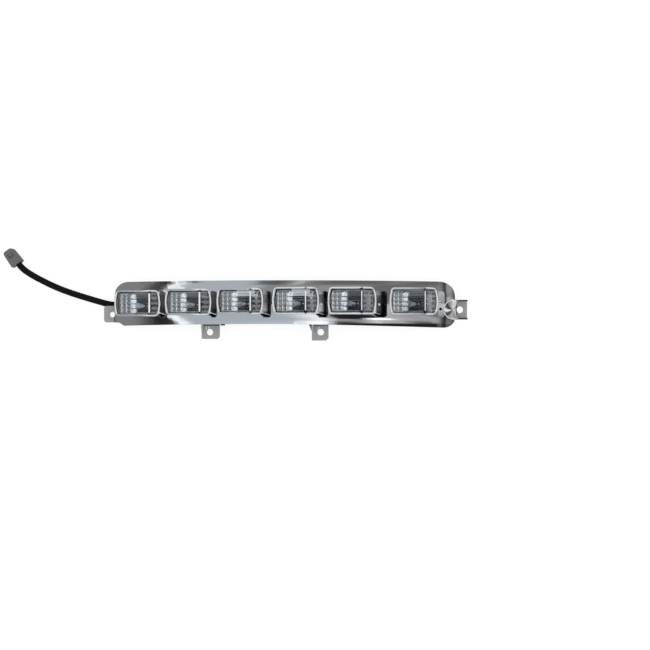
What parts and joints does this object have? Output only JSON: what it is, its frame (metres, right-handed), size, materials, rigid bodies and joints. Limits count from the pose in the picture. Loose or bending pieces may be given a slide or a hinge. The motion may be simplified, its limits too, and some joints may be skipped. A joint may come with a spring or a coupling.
{
  "type": "daytime running light",
  "caption": "Slim bowed car light bar: chrome bezel with a row of stepped clear lens cells, fixing lugs, end bracket and a short lead with a grey plug.",
  "frame": {"origin": "middle of the base of the lamp without its lead, in the plane of the rear face", "axes": "+X along the bar towards the bracket end, +Y up on the car, +Z the way it shines"},
  "size_m": [0.5083, 0.1012, 0.0454],
  "materials": {
    "chrome": "bright plated plastic",
    "black_plastic": "fine moulded grain",
    "seal_rubber": "matt",
    "screw_steel": "zinc plated",
    "vent_membrane": "matt",
    "green_board": "solder mask",
    "coil_ferrite": "matt",
    "capacitor_can": "satin",
    "chip_plastic": "matt",
    "lead_sleeve": "matt woven sleeve",
    "connector_grey": "moulded, fine grain",
    "lock_grey": "moulded",
    "seal_silicone": "matt",
    "terminal_brass": "tinned",
    "clear_lens": "clear polycarbonate",
    "reflector_metal": "metallised",
    "light_guide": "clear acrylic",
    "led_package": "phosphor under clear resin",
    "white_board": "white solder mask"
  },
  "bodies": {
    "root": {"bezel": "chrome", "rear_housing": "black_plastic", "housing_seal": "seal_rubber", "housing_screws": "screw_steel", "vent_cap": "vent_membrane", "driver_board": "green_board", "driver_coil": "coil_ferrite", "driver_capacitors": "capacitor_can", "driver_chips": "chip_plastic", "cable_grommet": "seal_rubber", "lead": "lead_sleeve", "connector_body": "connector_grey", "connector_lock": "lock_grey", "wire_seal": "seal_silicone", "connector_terminals": "terminal_brass", "lens_1": "clear_lens", "reflector_1": "reflector_metal", "light_guide_1": "light_guide", "led_1": "led_package", "led_board_1": "white_board", "lens_2": "clear_lens", "reflector_2": "reflector_metal", "light_guide_2": "light_guide", "led_2": "led_package", "led_board_2": "white_board", "lens_3": "clear_lens", "reflector_3": "reflector_metal", "light_guide_3": "light_guide", "led_3": "led_package", "led_board_3": "white_board", "lens_4": "clear_lens", "reflector_4": "reflector_metal", "light_guide_4": "light_guide", "led_4": "led_package", "led_board_4": "white_board", "lens_5": "clear_lens", "reflector_5": "reflector_metal", "light_guide_5": "light_guide", "led_5": "led_package", "led_board_5": "white_board", "lens_6": "clear_lens", "reflector_6": "reflector_metal", "light_guide_6": "light_guide", "led_6": "led_package", "led_board_6": "white_board"}
  },
  "joints": []
}
